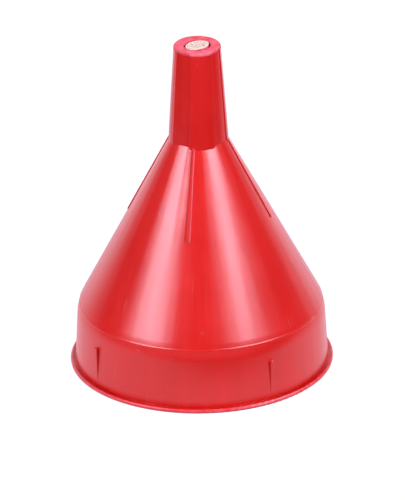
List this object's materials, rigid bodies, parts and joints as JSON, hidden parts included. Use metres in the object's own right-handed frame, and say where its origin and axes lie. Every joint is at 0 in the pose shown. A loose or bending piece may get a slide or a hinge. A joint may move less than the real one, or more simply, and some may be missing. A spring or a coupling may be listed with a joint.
{
  "type": "funnel",
  "caption": "Conical plastic funnel with a fluted tapered spout, flanged mouth band, vent ribs, stacking lugs and a push-in strainer in the tip, standing on its rim.",
  "frame": {"origin": "centre of the mouth's rim plane, on the funnel's axis", "axes": "+Z along the axis from the mouth to the spout's tip, -Y the side with the front vent rib, +X the side towards which the strainer's slanted gauze rises"},
  "size_m": [0.165, 0.165, 0.2159],
  "materials": {
    "red_plastic": "satin-glossy moulded polypropylene",
    "dark_red_plastic": "satin moulded polypropylene",
    "gauze": "fine woven nylon gauze, cream"
  },
  "bodies": {
    "funnel": {"funnel_body": "red_plastic"},
    "strainer": {"strainer_thimble": "dark_red_plastic", "strainer_gauze": "gauze"}
  },
  "joints": [
    {"name": "strainer_pull", "type": "slide", "parent": "funnel", "child": "strainer", "axis": [0, 0, 1], "range_m": [0, 0.013]}
  ]
}
